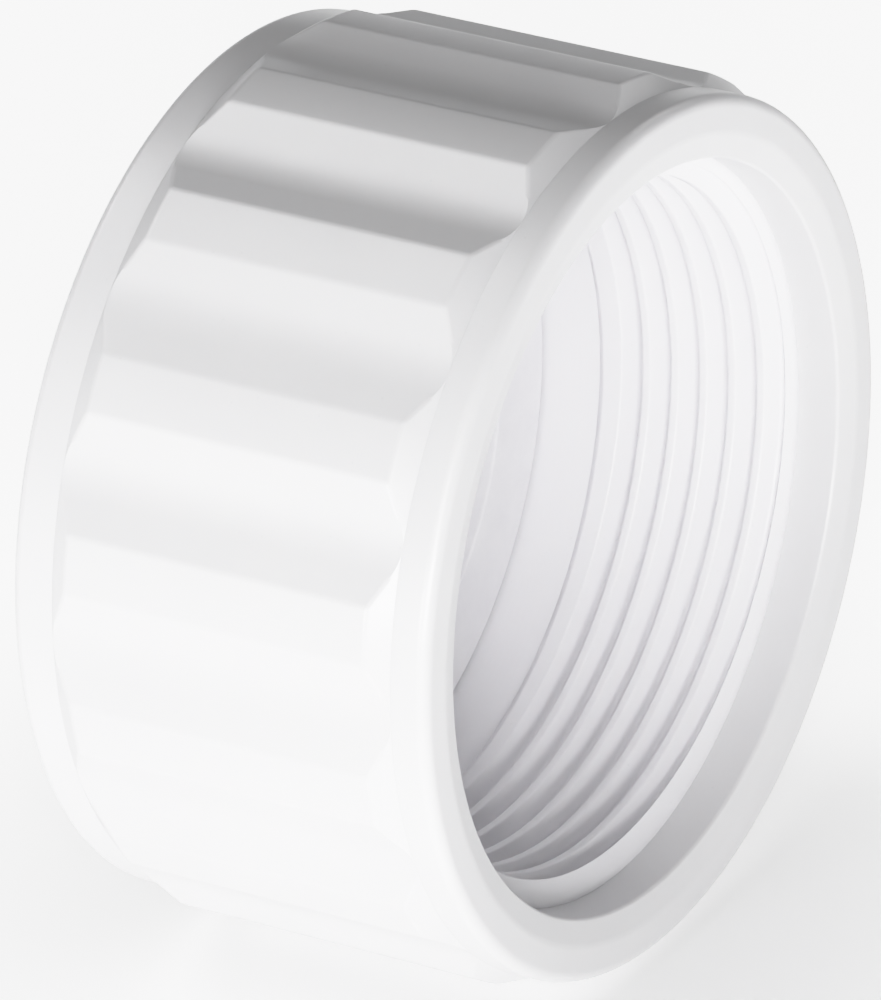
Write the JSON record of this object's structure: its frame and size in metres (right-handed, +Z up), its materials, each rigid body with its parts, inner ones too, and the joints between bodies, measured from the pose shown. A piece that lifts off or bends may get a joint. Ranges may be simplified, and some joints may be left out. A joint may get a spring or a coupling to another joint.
{
  "type": "threaded pipe cap",
  "caption": "Moulded plastic screw cap for a pipe end, with a lobed grip band, an inside pipe thread and a loose flat gasket.",
  "frame": {"origin": "centre of the bounding box's base, on the surface that the cap lies on", "axes": "+X along the cap's axis and out of its mouth, +Y across the cap, +Z up; the cap lies on its grip band"},
  "size_m": [0.045, 0.0878, 0.0877],
  "materials": {
    "plastic": "satin gloss white moulding",
    "gasket": "matt off-white rubber"
  },
  "bodies": {
    "cap": {"mouth_collar": "plastic", "grip_band": "plastic", "end_collar": "plastic", "end_plate": "plastic", "pocket_ring": "plastic", "thread_sleeve": "plastic"},
    "gasket": {"gasket": "gasket"}
  },
  "joints": [
    {"name": "gasket_slide", "type": "slide", "parent": "cap", "child": "gasket", "axis": [1, 0, 0], "range_m": [0, 0.006]}
  ]
}
